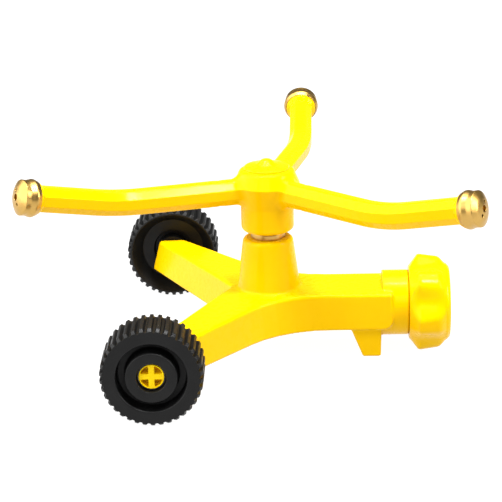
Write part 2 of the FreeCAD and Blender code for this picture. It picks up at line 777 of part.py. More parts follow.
def hub_cap():
    """The plug that closes the water chamber: a low dome with a small rounded nub in the middle."""
    return turned([
        (0, HUB_CHAMBER_TOP, 0),
        (CAP_PLUG_R, HUB_CHAMBER_TOP, 0),
        (CAP_PLUG_R, HUB_TOP, 0),
        (CAP_R, HUB_TOP, 0),
        (CAP_R, CAP_TOP, 0.7),
        (CAP_NUB_FOOT_R, CAP_NUB_FOOT_Z, 2.5),
        (CAP_NUB_R, CAP_NUB_TOP - 0.3, 1.3),
        (0, CAP_NUB_TOP, 0),
    ])


# ---- nozzles ----
def nozzle(tip_heading, turn):
    """A brass cap: a swelling, a shallow waist, a crisp rim and a domed face with three jets in a row."""
    outer = turned([
        (0, 0, 0),
        (6.85, 0, 0.2),
        (NOZZLE_REAR_R, 1.9, 1.8),
        (NOZZLE_WAIST_R, 4.4, 2.5),
        (NOZZLE_RIM_R, NOZZLE_RIM_S, 0.35),
        (4.5, 7.9, 5.0),
        (0, NOZZLE_LENGTH, 0),
    ])
    outer = outer.cut(Part.makeCylinder(NOZZLE_SKIRT_BORE, NOZZLE_SKIRT_DEPTH))
    outer = outer.cut(Part.makeCylinder(NOZZLE_BORE_R, NOZZLE_BORE_FLOOR))
    for offset, radius in ((0, JET_R), (SIDE_JET_OFFSET, SIDE_JET_R), (-SIDE_JET_OFFSET, SIDE_JET_R)):
        outer = outer.cut(Part.makeCylinder(radius, NOZZLE_LENGTH, Vector(offset, 0, NOZZLE_BORE_FLOOR - 1)))
    outer.rotate(Vector(0, 0, 0), Z_UP, turn)
    _, _, _, last = arm_path(tip_heading)
    return aim(outer, nozzle_start(tip_heading), last)


def nozzle_seal(tip_heading):
    low, high = NOZZLE_SEAL_S
    _, _, _, last = arm_path(tip_heading)
    return aim(sleeve(NOZZLE_SEAL_INNER_R, NOZZLE_SEAL_R, low, high), nozzle_start(tip_heading), last)


# ---- the whole sprinkler ----
def sprinkler():
    """Every piece by name. +Y is the left side when the sprinkler is towed by its hose."""
    bush_low, bush_high = HUB_BUSH_Z
    pieces = {
        "base_casting": base_casting(),
        "inlet_tail": inlet_tail(),
        "tail_seal": tail_seal(),
        "swivel_nut": swivel_nut(),
        "hose_washer": hose_washer(),
        "filter_screen": filter_screen(),
        "spindle": spindle(),
        "riser_seal": sleeve(RISER_SEAL_INNER_R, SPINDLE_THREAD_R, *RISER_SEAL_Z),
        "bearing_ring": bearing_ring(),
        "lower_thrust_washer": sleeve(SPINDLE_R, LOWER_WASHER_R, *LOWER_WASHER_Z),
        "upper_thrust_washer": sleeve(SPINDLE_R, UPPER_WASHER_R, *UPPER_WASHER_Z),
        "spindle_nut": spindle_nut(),
        "rotor_hub": rotor_hub(),
        "hub_bush": sleeve(SPINDLE_R + SPINDLE_RUN_GAP, HUB_BUSH_R, bush_low, bush_high),
        "hub_seal": sleeve(HUB_SEAL_INNER_R, HUB_BUSH_R, bush_high, HUB_SEAL_TOP),
        "hub_cap": hub_cap(),
        "nozzle_seals": Part.makeCompound([nozzle_seal(h) for h in arm_headings()]),
        "axle_clips": Part.makeCompound([axle_clip(side) for side in (1, -1)]),
        "wheel_spacers": Part.makeCompound([wheel_spacer(side) for side in (1, -1)]),
        "wheel_washers": Part.makeCompound([wheel_washer(side) for side in (1, -1)]),
    }
    for name, side in (("left", 1), ("right", -1)):
        pieces["wheel_" + name] = wheel(side)
        pieces["axle_pin_" + name] = axle_pin(side)
    for i, tip_heading in enumerate(arm_headings()):
        pieces["arm_%d" % (i + 1)] = arm(tip_heading)
        pieces["nozzle_%d" % (i + 1)] = nozzle(tip_heading, NOZZLE_TURNS[i])
    return pieces


def ground_origin(pieces):
    """The middle of the bounding box in plan, at ground level."""
    box = FreeCAD.BoundBox()
    for shape in pieces.values():
        box.add(shape.optimalBoundingBox(False, False))
    return Vector(round(box.Center.x, 2), round(box.Center.y, 2), 0)


def main():
    os.makedirs("parts", exist_ok=True)
    pieces = sprinkler()
    origin = ground_origin(pieces)
    print("origin, from the spindle axis:", origin)
    for name, shape in pieces.items():
        solid_count = len(shape.Solids)
        shape.translate(-origin)
        shape.exportStep("parts/%s.step" % name)
        print(name, solid_count, "solids", round(shape.Volume, 1), "mm3", shape.isValid())


main()
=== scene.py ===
import json
import math

import bmesh
import bpy
import numpy as np
from mathutils import Matrix, Vector


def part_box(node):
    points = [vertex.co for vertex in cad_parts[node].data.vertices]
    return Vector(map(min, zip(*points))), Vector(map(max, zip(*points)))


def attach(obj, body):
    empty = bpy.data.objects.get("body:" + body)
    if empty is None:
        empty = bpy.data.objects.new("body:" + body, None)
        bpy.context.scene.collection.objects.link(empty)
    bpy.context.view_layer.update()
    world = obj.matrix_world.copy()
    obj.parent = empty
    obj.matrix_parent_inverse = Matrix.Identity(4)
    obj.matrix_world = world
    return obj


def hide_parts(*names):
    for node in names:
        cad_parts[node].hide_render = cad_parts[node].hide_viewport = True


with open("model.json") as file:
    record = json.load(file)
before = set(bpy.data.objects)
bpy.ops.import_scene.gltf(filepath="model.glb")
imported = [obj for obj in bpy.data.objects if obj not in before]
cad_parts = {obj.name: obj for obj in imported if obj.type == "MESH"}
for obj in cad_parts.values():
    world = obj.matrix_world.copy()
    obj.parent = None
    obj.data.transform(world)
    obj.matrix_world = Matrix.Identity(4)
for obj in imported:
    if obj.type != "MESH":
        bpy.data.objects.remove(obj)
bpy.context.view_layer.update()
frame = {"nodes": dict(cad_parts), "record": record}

# Lengths are in millimetres in the spindle's own frame: its axis is x = y = 0, the ground is z = 0,
# +X points to the hose inlet. place() carries them to the row frame in metres.
SPINDLE_LOW, SPINDLE_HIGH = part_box("spindle")
SPINDLE_AT = np.array([
    (SPINDLE_LOW.x + SPINDLE_HIGH.x) / 2,
    (SPINDLE_LOW.y + SPINDLE_HIGH.y) / 2,
    0.0,
])
MM = 0.001

# ---- sizes shared with the CAD model ----
LEG_HEADING = 120.0
LEG_END_Y = 68.6
LEG_FALL_START = 15.0
LEG_FALL = 0.030
LEG_POCKET_ROOF = 22.5
PIPE_TOP = 27.5
BASE_BOTTOM = 12.0
PIPE_END = 50.9
PIPE_AXIS_Z = 19.2
COLLAR_START = 46.7
TAIL_BORE_R = 9.5
TAIL_BORE_START = 48.4
FOOT_HALF_WIDTH = 12.6
AXLE_X = -44.0
AXLE_Z = 20.0
PIN_R = 5.0
PIN_END_Y = 81.5
ARM_TIP_HEADINGS = (81.79, 201.79, 321.79)
ARM_ROOT_TURN = -4.59
ARM_Z = 69.3
ARM_BEND_AT = 63.0
ARM_BEND_Z = 69.7
ARM_BEND_CUT = 10.4
TIP_TURN = 7.66
TIP_SLOPE = 13.01
TIP_REACH = 35.6
SOCKET_END = 24.0
NOZZLE_TURNS = (0.0, -30.0, 39.0)
WHEEL_RIBS = 38
TREAD_ROOT = 18.6
TREAD_CREST = 20.0


def place(points):
    """Spindle-frame millimetres to row-frame metres."""
    return np.asarray(points, float) * MM + SPINDLE_AT


def heading(degrees):
    """A level unit vector at an angle measured from +X towards +Y."""
    turn = math.radians(degrees)
    return np.array([math.cos(turn), math.sin(turn), 0.0])


def unit(vector):
    """The vector at a length of 1."""
    return vector / np.linalg.norm(vector)


# ---------------------------------------------------------------- outlines
def outline(corners, steps=6, with_normals=False):
    """A closed polyline through (x, y, rounding) corners, each rounding a true arc."""
    points = []
    normals = []
    count = len(corners)
    for i, (x, y, radius) in enumerate(corners):
        corner = np.array([x, y], float)
        before = unit(np.array(corners[i - 1][:2], float) - corner)
        after = unit(np.array(corners[(i + 1) % count][:2], float) - corner)
        if radius <= 0:
            points.append(corner)
            normals.append(-unit(before + after) if abs(before @ after) < 0.999 else before[::-1])
            continue
        half = math.acos(np.clip(before @ after, -1, 1)) / 2
        reach = radius / math.tan(half)
        centre = corner + unit(before + after) * radius / math.sin(half)
        start = corner + before * reach - centre
        turn = math.pi - 2 * half
        side = np.sign(before[1] * after[0] - before[0] * after[1])
        for k in range(steps + 1):
            a = side * turn * k / steps
            c, s = math.cos(a), math.sin(a)
            arm = np.array([c * start[0] - s * start[1], s * start[0] + c * start[1]])
            points.append(centre + arm)
            normals.append(arm / radius)
    return (np.array(points), np.array(normals)) if with_normals else np.array(points)


# ---------------------------------------------------------------- distance fields
def polygon_distance(x, y, polygon):
    """Signed distance to a closed polygon, negative inside."""
    best = np.full(x.shape, np.inf)
    inside = np.zeros(x.shape, bool)
    for (ax, ay), (bx, by) in zip(polygon, np.roll(polygon, -1, axis=0)):
        ex, ey = bx - ax, by - ay
        length2 = ex * ex + ey * ey
        if length2 < 1e-12:
            continue
        wx, wy = x - ax, y - ay
        t = np.clip((wx * ex + wy * ey) / length2, 0, 1)
        best = np.minimum(best, (wx - ex * t) ** 2 + (wy - ey * t) ** 2)
        if ey != 0:
            inside ^= ((ay > y) != (by > y)) & (wx < ex * wy / ey)
    return np.where(inside, -1, 1) * np.sqrt(best)


def join(a, b, radius):
    """Union of two fields with a circular fillet."""
    u = np.maximum(radius - a, 0)
    v = np.maximum(radius - b, 0)
    return np.maximum(np.minimum(a, b), radius) - np.hypot(u, v)


def common(a, b, radius):
    """Intersection of two fields with a rounded edge."""
    u = np.maximum(radius + a, 0)
    v = np.maximum(radius + b, 0)
    return np.minimum(np.maximum(a, b), -radius) + np.hypot(u, v)


# Grid cells along each side of the blocks that a net is first sampled in.
NET_BLOCK = 6


def sampled(field, low, high, step):
    """A grid of field values: exact near the surface, and one value for each block away from it."""
    count = np.ceil((np.array(high, float) - low) / step / NET_BLOCK).astype(int)
    middles = [low[i] + step * (NET_BLOCK * np.arange(count[i]) + (NET_BLOCK - 1) / 2) for i in range(3)]
    values = np.stack(np.meshgrid(*middles, indexing="ij"), -1).reshape(-1, 3)
    values = field(values).reshape(count)
    near = np.argwhere(np.abs(values) < step * NET_BLOCK * 1.15)
    for axis in range(3):
        values = np.repeat(values, NET_BLOCK, axis)
    offsets = np.stack(np.meshgrid(*[np.arange(NET_BLOCK)] * 3, indexing="ij"), -1).reshape(-1, 3)
    cells = (near[:, None, :] * NET_BLOCK + offsets[None]).reshape(-1, 3)
    values[tuple(cells.T)] = field(low + cells * step)
    return values


def crossings(values):
    """Per axis: the four cells round each change of sign, where it lies, and if it faces along the axis."""
    found = []
    for axis in range(3):
        b, c = (axis + 1) % 3, (axis + 2) % 3
        size = list(values.shape)
        size[axis] -= 1
        first = values[tuple(slice(0, n) for n in size)]
        second = np.take(values, range(1, values.shape[axis]), axis)
        crossing = np.argwhere((first < 0) != (second < 0))
        before = first[tuple(crossing.T)]
        after = second[tuple(crossing.T)]
        spot = crossing.astype(float)
        spot[:, axis] += before / (before - after)
        ring = []
        for db, dc in ((0, 0), (-1, 0), (-1, -1), (0, -1)):
            cell = crossing.copy()
            cell[:, b] += db
            cell[:, c] += dc
            ring.append(cell)
        found.append((ring, spot, before < 0))
    return found


def pulled(field, points, step):
    """The points after three Newton steps towards the surface, none longer than a grid step."""
    for _ in range(3):
        distance, slope = gradient(field, points, step * 0.15)
        pull = (distance / np.maximum((slope ** 2).sum(1), 0.25))[:, None] * slope
        length = np.linalg.norm(pull, axis=1, keepdims=True)
        points = points - pull * np.minimum(1, step / np.maximum(length, 1e-9))
    return points


def surface_net(field, low, high, step, shading=None):
    """Vertices, quads and normals of a field's zero surface. The normals follow shading, if it is given."""
    low = np.array(low, float)
    values = sampled(field, low, high, step)
    found = crossings(values)
    cells = np.concatenate([cell for ring, _, _ in found for cell in ring])
    spots = np.concatenate([spot for ring, spot, _ in found for _ in ring])
    names, inverse = np.unique(np.ravel_multi_index(tuple(cells.T), values.shape), return_inverse=True)
    total = np.zeros((len(names), 3))
    np.add.at(total, inverse, spots)
    points = low + step * total / np.bincount(inverse)[:, None]
    index = np.full(values.shape, -1)
    index.ravel()[names] = np.arange(len(names))
    faces = []
    for ring, _, outward in found:
        corners = np.stack([index[tuple(cell.T)] for cell in ring], 1)
        corners[~outward] = corners[~outward][:, ::-1]
        faces.append(corners)
    points = pulled(field, points, step)
    _, slope = gradient(shading or field, points, step * 0.3)
    normals = slope / np.maximum(np.linalg.norm(slope, axis=1, keepdims=True), 1e-9)
    return points, np.concatenate(faces), normals


def gradient(field, points, reach):
    """A field's value and slope at points, from four samples round each."""
    corners = np.array([[1, 1, 1], [1, -1, -1], [-1, 1, -1], [-1, -1, 1]], float) * reach
    slope = np.zeros(points.shape)
    total = np.zeros(len(points))
    for corner in corners:
        value = field(points + corner)
        slope += corner * value[:, None]
        total += value
    return total / 4, slope / (4 * reach * reach)


def revolved(points, polygon, origin=(0, 0, 0), axis=2):
    """Field of a polygon of (radius, height) points turned about an axis through origin."""
    p = points - np.array(origin, float)
    others = [i for i in range(3) if i != axis]
    radius = np.hypot(p[:, others[0]], p[:, others[1]])
    return polygon_distance(radius, p[:, axis], polygon)


# ---------------------------------------------------------------- objects
def new_object(name, points, faces, body, material, slot, replaced=(), normals=None):
    """A mesh object in the row frame that rides on a body."""
    mesh = bpy.data.meshes.new(name)
    mesh.from_pydata([tuple(p) for p in place(points)], [], [tuple(int(i) for i in f) for f in faces])
    mesh.validate()
    mesh.polygons.foreach_set("use_smooth", [True] * len(mesh.polygons))
    if normals is not None:
        mesh.normals_split_custom_set_from_vertices([tuple(n) for n in normals])
    obj = bpy.data.objects.new(name, mesh)
    bpy.context.scene.collection.objects.link(obj)
    mesh.materials.append(material)
    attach(obj, body)
    if replaced:
        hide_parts(*replaced)
    return obj


def net_object(name, field, low, high, step, body, material, slot, replaced=(), shading=None):
    """A mesh object made from a distance field."""
    points, faces, normals = surface_net(field, low, high, step, shading)
    return new_object(name, points, faces, body, material, slot, replaced, normals)


def band_faces(rows, segments, closed):
    """Quads between rings of points. A closed band ends where it starts, an open one has end faces."""
    faces = []
    for i in range(rows if closed else rows - 1):
        j = (i + 1) % rows
        for k in range(segments):
            n = (k + 1) % segments
            faces.append((i * segments + k, j * segments + k, j * segments + n, i * segments + n))
    if not closed:
        faces.append(tuple(range(segments)))
        faces.append(tuple(range((rows - 1) * segments, rows * segments))[::-1])
    return faces


def turned_parts(corners, segments=128):
    """Points and faces of an outline of (radius, height, rounding) corners turned about Z."""
    rows = outline(corners)
    angles = np.arange(segments) * 2 * math.pi / segments
    points = np.array([[r * math.cos(a), r * math.sin(a), z] for r, z in rows for a in angles])
    return points, band_faces(len(rows), segments, closed=True)


def frame_of(axis):
    """Rows: up, side and along for an axis, as the CAD model aims its parts."""
    along = unit(np.array(axis, float))
    side = unit(np.cross([0, 0, 1.0], along))
    return np.array([np.cross(along, side), side, along])


def aimed(points, origin, axis):
    """Points made about Z, carried to an axis through origin."""
    return np.asarray(points) @ frame_of(axis) + np.asarray(origin, float)


def cleaned(obj, angle):
    """Merges doubled points, points the faces outward and shades by angle."""
    work = bmesh.new()
    work.from_mesh(obj.data)
    bmesh.ops.remove_doubles(work, verts=work.verts, dist=1e-7)
    bmesh.ops.dissolve_degenerate(work, edges=work.edges, dist=1e-8)
    bmesh.ops.recalc_face_normals(work, faces=work.faces)
    for edge in work.edges:
        edge.smooth = edge.calc_face_angle(0) < math.radians(angle)
    work.to_mesh(obj.data)
    work.free()
    return obj


def arm_path(tip_heading):
    """Axis point, first direction, bend point and last direction of an arm's centreline."""
    axis_point = np.array([0, 0, ARM_Z])
    bend = heading(tip_heading + ARM_ROOT_TURN) * ARM_BEND_AT + np.array([0, 0, ARM_BEND_Z])
    slope = math.radians(TIP_SLOPE)
    last = heading(tip_heading + TIP_TURN) * math.cos(slope) + np.array([0, 0, math.sin(slope)])
    return axis_point, unit(bend - axis_point), bend, last


# ---------------------------------------------------------------- materials
def noise(tree, coords, scale, detail=3.0):
    """A noise texture's value."""
    node = tree.nodes.new("ShaderNodeTexNoise")
    node.inputs["Scale"].default_value = scale
    node.inputs["Detail"].default_value = detail
    tree.links.new(coords, node.inputs["Vector"])
    return node.outputs["Fac"]


def ramp(tree, value, low, high):
    """The middle of a noise's range, stretched from low to high."""
    node = tree.nodes.new("ShaderNodeMapRange")
    node.inputs["From Min"].default_value = 0.3
    node.inputs["From Max"].default_value = 0.7
    node.inputs["To Min"].default_value = low
    node.inputs["To Max"].default_value = high
    tree.links.new(value, node.inputs["Value"])
    return node.outputs["Result"]


def surface(name, colours, colour_scale, rough, rough_scale, bump, metallic=0.0, **sockets):
    """A procedural material: two close colours, varied roughness and a fine relief, all from noise."""
    material = bpy.data.materials.new(name)
    material.use_nodes = True
    tree = material.node_tree
    shader = tree.nodes["Principled BSDF"]
    coords = tree.nodes.new("ShaderNodeTexCoord").outputs["Object"]
    blend = tree.nodes.new("ShaderNodeMix")
    blend.data_type = "RGBA"
    blend.inputs["A"].default_value = (*colours[0], 1)
    blend.inputs["B"].default_value = (*colours[1], 1)
    tree.links.new(ramp(tree, noise(tree, coords, colour_scale), 0.0, 1.0), blend.inputs["Factor"])
    tree.links.new(blend.outputs["Result"], shader.inputs["Base Color"])
    tree.links.new(ramp(tree, noise(tree, coords, rough_scale), *rough), shader.inputs["Roughness"])
    scale, strength, distance = bump
    relief = tree.nodes.new("ShaderNodeBump")
    relief.inputs["Strength"].default_value = strength
    relief.inputs["Distance"].default_value = distance
    tree.links.new(noise(tree, coords, scale, 2.0), relief.inputs["Height"])
    tree.links.new(relief.outputs["Normal"], shader.inputs["Normal"])
    shader.inputs["Metallic"].default_value = metallic
    for socket, value in sockets.items():
        shader.inputs[socket.replace("_", " ")].default_value = value
    return material


YELLOW = surface(
    "yellow_paint", ((0.73, 0.42, 0.0), (0.74, 0.435, 0.0)), 60.0, (0.24, 0.32), 400.0,
    (260.0, 0.008, 0.0001), IOR=1.25, Specular_IOR_Level=0.25, Specular_Tint=(1.0, 0.85, 0.05, 1.0),
    Coat_Weight=0.25, Coat_IOR=1.25, Coat_Roughness=0.10,
)
YELLOW_PLASTIC = surface(
    "yellow_plastic", ((0.90, 0.60, 0.0), (0.95, 0.66, 0.0)), 90.0, (0.22, 0.34), 500.0,
    (1400.0, 0.05, 0.0001), Specular_IOR_Level=0.3, Specular_Tint=(1.0, 0.9, 0.3, 1.0),
)
BLACK_PLASTIC = surface(
    "black_plastic", ((0.0045, 0.0045, 0.0045), (0.007, 0.007, 0.007)), 120.0, (0.34, 0.46), 300.0,
    (2600.0, 0.10, 0.0001), Specular_IOR_Level=0.18,
)
BRASS = surface(
    "brass", ((0.50, 0.305, 0.075), (0.54, 0.335, 0.095)), 140.0, (0.28, 0.36), 700.0,
    (2500.0, 0.05, 0.00005), metallic=1.0,
)
STEEL = surface(
    "steel", ((0.55, 0.56, 0.58), (0.62, 0.63, 0.65)), 200.0, (0.25, 0.40), 900.0,
    (3000.0, 0.08, 0.00005), metallic=1.0,
)
NYLON = surface(
    "nylon", ((0.78, 0.77, 0.70), (0.84, 0.83, 0.77)), 150.0, (0.40, 0.55), 600.0,
    (1800.0, 0.08, 0.0001), Subsurface_Weight=0.1,
)
# Nearly black steel: painted shade for the axle clips that sit in the wheels' shade.
STEEL_IN_PAINTED_SHADE = surface(
    "steel_painted_shade", ((0.020, 0.020, 0.022), (0.030, 0.030, 0.032)), 200.0, (0.35, 0.50), 900.0,
    (3000.0, 0.08, 0.00005), metallic=0.6,
)
RUBBER = surface(
    "rubber", ((0.016, 0.016, 0.017), (0.026, 0.026, 0.027)), 180.0, (0.60, 0.78), 500.0,
    (1500.0, 0.20, 0.0001),
)
MATERIALS = {
    "yellow_paint": YELLOW,
    "yellow_plastic": YELLOW_PLASTIC,
    "black_plastic": BLACK_PLASTIC,
    "brass": BRASS,
    "steel": STEEL,
    "nylon": NYLON,
    "rubber": RUBBER,
}

# Painted shade: the axle clips and wheel washers sit in the wheels' shade, so they get darker materials
# than their slots' own.
PAINTED_SHADE_NODES = {"axle_clips": STEEL_IN_PAINTED_SHADE, "wheel_washers": BLACK_PLASTIC}


def finish_cad_nodes():
    """Every CAD node that stays in view gets its slot's full material; the axle clips and wheel washers get
    painted shade instead.
    """
    slots = {part["node"]: part["material_slot"] for part in frame["record"]["subparts"]}
    for name, obj in frame["nodes"].items():
        obj.data.materials.clear()
        obj.data.materials.append(PAINTED_SHADE_NODES.get(name) or MATERIALS[slots[name]])


# ---------------------------------------------------------------- base
def leg_point(run, offset):
    """Plan point on the +Y leg: run along it, offset towards the hose pipe."""
    return (heading(LEG_HEADING) * run + heading(LEG_HEADING - 90) * offset)[:2]


def crossing_y(start, end, y):
    """Where a line in plan crosses a given y."""
    return start + (end - start) * (y - start[1]) / (end[1] - start[1])


def plan_outline(pipe_half, outer, inner, inner_taper):
    """Outline of the base at one height, from the pipe's end round both legs."""
    far, outer_at, inner_at, outer_taper = 80.0, 20.0, 28.0, 0.146
    outer_line = (leg_point(outer_at, outer), leg_point(far, outer - outer_taper * (far - outer_at)))
    inner_line = (leg_point(inner_at, -inner), leg_point(far, inner_taper * (far - inner_at) - inner))
    half = [
        (PIPE_END, pipe_half, 1.2),
        (*crossing_y(*outer_line, pipe_half), 40.0),
        (*crossing_y(*outer_line, LEG_END_Y), 1.2),
        (*crossing_y(*inner_line, LEG_END_Y), 1.2),
    ]
    mirrored = [(x, -y, r) for x, y, r in reversed(half)]
    return outline(half + [(*crossing_y(*inner_line, 0.0), 3.0)] + mirrored, 5)


TOP_PLAN = plan_outline(14.0, 9.2, 12.3, 0.055)
BOTTOM_PLAN = plan_outline(14.2, 10.4, 13.6, 0.025)
RISER_PROFILE = outline([(0, 25.5, 0), (13.2, 25.5, 0), (10.23, 48.9, 1.8), (0, 48.9, 0)])
COLLAR_PROFILE = outline([(0, 40.0, 0), (13.5, 40.0, 0), (13.5, 57.6, 0.7), (0, 57.6, 0)])
FOOT_PROFILE = outline([(38.4, 0, 0.6), (45.8, 0, 0.6), (46.2, 14.5, 0), (32.5, 14.5, 0)])
BEARING_RING_CORNERS = [(4.0, 48.9, 0), (7.1, 48.9, 0.3), (7.1, 51.4, 0.5), (4.0, 51.4, 0)]


def leg_pocket_plan():
    """Outline of the cored-out space under the +Y leg."""
    corners = [(24, 6.2), (62, 0.1), (62, -7.4), (24, -9.3)]
    return outline([(*leg_point(run, offset), 2.0) for run, offset in corners], 3)


POCKET_PLAN = leg_pocket_plan()


def base_field(p):
    """The casting: pipe, legs, riser, collar and skid foot, with the leg pockets and the bore cut away."""
    x, y, z = p.T
    share = np.clip((PIPE_TOP - z) / (PIPE_TOP - BASE_BOTTOM), -0.3, 1.3)
    top = polygon_distance(x, y, TOP_PLAN)
    bottom = polygon_distance(x, y, BOTTOM_PLAN)
    walls = top + (bottom - top) * share
    run = x * math.cos(math.radians(LEG_HEADING)) + np.abs(y) * math.sin(math.radians(LEG_HEADING))
    roof = z - PIPE_TOP + LEG_FALL * np.maximum(run - LEG_FALL_START, 0)
    star = common(walls, roof, 1.3)
    floor = common(BASE_BOTTOM - z, x - PIPE_END, 4.0)
    star = common(star, floor, 1.0)
    pocket = polygon_distance(x, np.abs(y), POCKET_PLAN)
    star = common(star, -np.maximum(pocket, z - LEG_POCKET_ROOF), 0.6)
    whole = join(star, revolved(p, RISER_PROFILE), 1.1)
    collar = np.maximum(revolved(p, COLLAR_PROFILE, (0, 0, PIPE_AXIS_Z), 0), COLLAR_START - x)
    whole = join(whole, collar, 0.9)
    skid = common(polygon_distance(x, z, FOOT_PROFILE), np.abs(y) - FOOT_HALF_WIDTH, 0.6)
    whole = join(whole, skid, 1.0)
    bore = np.maximum(np.hypot(y, z - PIPE_AXIS_Z) - TAIL_BORE_R, TAIL_BORE_START - x)
    return np.maximum(whole, -bore)


# ---------------------------------------------------------------- rotor
ARM_CORNERS = [
    (5.15, 2.1, 1.9), (2.0, 4.8, 0.55), (-2.0, 4.8, 0.55), (-5.15, 2.1, 1.9),
    (-5.15, -2.1, 1.9), (-2.0, -4.8, 0.55), (2.0, -4.8, 0.55), (5.15, -2.1, 1.9),
]
ARM_SECTION = outline(ARM_CORNERS, 5)
ARM_ROOT_FILLET = 2.3
ARM_DRAW_IN_LENGTH = 4.0
ARM_TUBE_START_INSET = 0.4
ARM_BEND_STEPS = 16
# Distances from the spindle along an arm.
ARM_ROOT_START = 6.0
ARM_DRAW_IN_START = 18.5
ARM_TUBE_START = 17.0
ARM_TUBE_FULL = 22.0
ARM_TUBE_MIDDLE = 38.0

HUB_PROFILE = outline([
    (0, 52.0, 0), (10.83, 52.0, 2.0), (10.83, 62.6, 3.0), (13.5, 71.8, 0.6),
    (11.0, 77.9, 2.0), (0, 77.9, 0),
])
HUB_HOLLOW = outline([
    (0, 51.0, 0), (7.4, 51.0, 0), (7.4, 52.5, 0), (6.2, 52.5, 0), (6.2, 62.3, 0), (7.2, 62.3, 0),
    (7.2, 75.5, 0), (8.2, 75.5, 0), (8.2, 79.0, 0), (0, 79.0, 0),
])


def hub_field(p, draw_in=0.35):
    """The hub and its arm roots, which draw in a little past their fillets, under the arms' tubes."""
    hub = revolved(p, HUB_PROFILE)
    for tip_heading in ARM_TIP_HEADINGS:
        axis_point, first, _, _ = arm_path(tip_heading)
        local = (p - axis_point) @ frame_of(first).T
        inset = draw_in * np.clip((local[:, 2] - ARM_DRAW_IN_START) / ARM_DRAW_IN_LENGTH, 0, 1)
        root = polygon_distance(local[:, 0], local[:, 1], ARM_SECTION) + inset
        root = np.maximum(np.maximum(root, local[:, 2] - SOCKET_END), ARM_ROOT_START - local[:, 2])
        hub = join(hub, root, ARM_ROOT_FILLET)
    return np.maximum(hub, -revolved(p, HUB_HOLLOW))


def arm_rows(tip_heading):
    """Origins, directions and insets of the arm's sections, from inside the hub to the nozzle's flange."""
    axis_point, first, bend, last = arm_path(tip_heading)
    straight = ((ARM_TUBE_START, ARM_TUBE_START_INSET), (ARM_TUBE_FULL, 0.0), (ARM_TUBE_MIDDLE, 0.0))
    rows = [(axis_point + first * along, first, inset) for along, inset in straight]
    start = bend - first * ARM_BEND_CUT
    turn = math.acos(first @ last)
    inward = np.cross(unit(np.cross(first, last)), first)
    radius = ARM_BEND_CUT / math.tan(turn / 2)
    centre = start + inward * radius
    for k in range(ARM_BEND_STEPS + 1):
        a = turn * k / ARM_BEND_STEPS
        direction = first * math.cos(a) + inward * math.sin(a)
        rows.append((centre - (inward * math.cos(a) - first * math.sin(a)) * radius, direction, 0.0))
    rows.append((bend + last * (TIP_REACH - 1.0), last, 0.0))
    return rows


def arm_tube(number, tip_heading):
    """The arm's faceted tube, swept along its bend with the section's own normals."""
    section, section_normals = outline(ARM_CORNERS, 8, with_normals=True)
    rows = arm_rows(tip_heading)
    _, first, _, last = arm_path(tip_heading)
    up_first, side_first, _ = frame_of(first)
    normal = unit(np.cross(first, last))
    points, normals = [], []
    for origin, direction, inset in rows:
        turn = math.atan2(np.cross(first, direction) @ normal, first @ direction)
        rotation = np.array(Matrix.Rotation(turn, 3, Vector(normal)))
        axes = np.array([rotation @ up_first, rotation @ side_first])
        points.append(origin + (section - section_normals * inset) @ axes)
        normals.append(section_normals @ axes)
    name = "arm_%d" % number
    faces = band_faces(len(rows), len(section), closed=False)
    return new_object(name + "_tube", np.vstack(points), faces,
                      "rotor", YELLOW, "yellow_paint", (name,), np.vstack(normals))


FLANGE_CORNERS = [
    (0, -2.6, 0), (4.6, -2.6, 0.3), (6.5, -0.6, 1.2), (6.5, 1.7, 0.3), (4.3, 1.7, 0.2),
    (4.3, 3.4, 0), (3.5, 3.4, 0), (3.5, 4.9, 0), (4.3, 4.9, 0), (4.3, 6.3, 0.3), (0, 6.3, 0),
]


def arm_end(number, tip_heading):
    """The turned flange and spigot that carry the nozzle."""
    _, _, bend, last = arm_path(tip_heading)
    points, faces = turned_parts(FLANGE_CORNERS, 96)
    points = aimed(points, bend + last * TIP_REACH, last)
    obj = new_object("arm_%d_flange" % number, points, faces, "rotor", YELLOW, "yellow_paint")
    return cleaned(obj, 35)


CAP_CORNERS = [
    (0, 75.5, 0), (8.15, 75.5, 0), (8.15, 77.7, 0), (9.3, 77.7, 0), (9.3, 79.0, 0.7),
    (4.3, 79.7, 2.5), (1.9, 81.8, 1.3), (0, 82.1, 0),
]

# ---------------------------------------------------------------- nozzles
NOZZLE_PROFILE = outline([
    (0, 0, 0), (6.85, 0, 0.2), (7.7, 1.9, 1.8), (7.05, 4.4, 3.0), (7.15, 6.5, 0.3),
    (4.5, 7.9, 5.0), (0, 8.75, 0),
])
NOZZLE_HOLLOW = outline([
    (0, -1, 0), (6.6, -1, 0), (6.6, 1.9, 0), (4.35, 1.9, 0), (4.35, 6.6, 0), (0, 6.6, 0),
])
JETS_START = 5.5
# Each jet's offset from the nozzle's axis and its radius.
NOZZLE_JETS = ((0.0, 1.35), (3.0, 0.6), (-3.0, 0.6))


def nozzle_field(p):
    """The cap about Z, bored out, with three jets in a row along X."""
    body = np.maximum(revolved(p, NOZZLE_PROFILE), -revolved(p, NOZZLE_HOLLOW))
    for offset, radius in NOZZLE_JETS:
        jet = np.maximum(np.hypot(p[:, 0] - offset, p[:, 1]) - radius, JETS_START - p[:, 2])
        body = common(body, -jet, 0.15)
    return body


